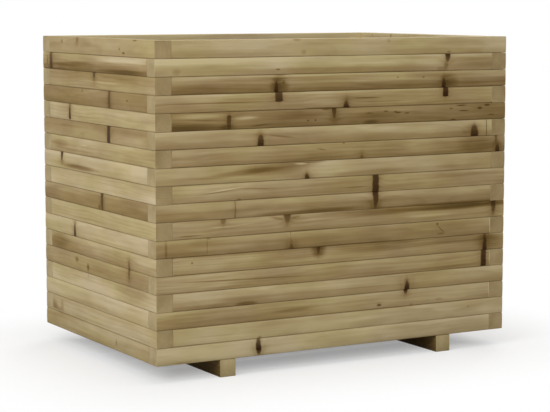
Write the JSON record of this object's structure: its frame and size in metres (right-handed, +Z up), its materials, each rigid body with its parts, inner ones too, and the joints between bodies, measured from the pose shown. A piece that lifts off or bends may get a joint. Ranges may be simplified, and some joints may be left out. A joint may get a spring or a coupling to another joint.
{
  "type": "raised garden bed",
  "caption": "Deep open-topped raised garden bed of stacked square pine laths with interlocked corners and a slatted floor, standing on skids.",
  "frame": {"origin": "on the ground, under the middle of the box", "axes": "+X along the long walls, to the right seen from the front; -Y is the front wall; +Z up"},
  "size_m": [0.9, 0.6, 0.722],
  "materials": {
    "wall_pine": "planed, impregnated",
    "inner_pine": "planed, impregnated",
    "skid_pine": "planed, impregnated",
    "screw_steel": "zinc plated"
  },
  "bodies": {
    "root": {"course_01_long_laths": "wall_pine", "course_02_long_laths": "wall_pine", "course_03_long_laths": "wall_pine", "course_04_long_laths": "wall_pine", "course_05_long_laths": "wall_pine", "course_06_long_laths": "wall_pine", "course_07_long_laths": "wall_pine", "course_08_long_laths": "wall_pine", "course_09_long_laths": "wall_pine", "course_10_long_laths": "wall_pine", "course_11_long_laths": "wall_pine", "course_12_long_laths": "wall_pine", "course_13_long_laths": "wall_pine", "course_14_long_laths": "wall_pine", "course_15_long_laths": "wall_pine", "course_16_long_laths": "wall_pine", "course_17_long_laths": "wall_pine", "course_18_long_laths": "wall_pine", "course_01_end_laths": "wall_pine", "course_02_end_laths": "wall_pine", "course_03_end_laths": "wall_pine", "course_04_end_laths": "wall_pine", "course_05_end_laths": "wall_pine", "course_06_end_laths": "wall_pine", "course_07_end_laths": "wall_pine", "course_08_end_laths": "wall_pine", "course_09_end_laths": "wall_pine", "course_10_end_laths": "wall_pine", "course_11_end_laths": "wall_pine", "course_12_end_laths": "wall_pine", "course_13_end_laths": "wall_pine", "course_14_end_laths": "wall_pine", "course_15_end_laths": "wall_pine", "course_16_end_laths": "wall_pine", "course_17_end_laths": "wall_pine", "course_18_end_laths": "wall_pine", "front_left_corner_post": "inner_pine", "front_right_corner_post": "inner_pine", "back_left_corner_post": "inner_pine", "back_right_corner_post": "inner_pine", "floor_board_1": "inner_pine", "floor_board_2": "inner_pine", "floor_board_3": "inner_pine", "floor_board_4": "inner_pine", "floor_board_5": "inner_pine", "left_skid": "skid_pine", "right_skid": "skid_pine", "wall_screws": "screw_steel", "floor_screws": "screw_steel", "skid_screws": "screw_steel"}
  },
  "joints": []
}
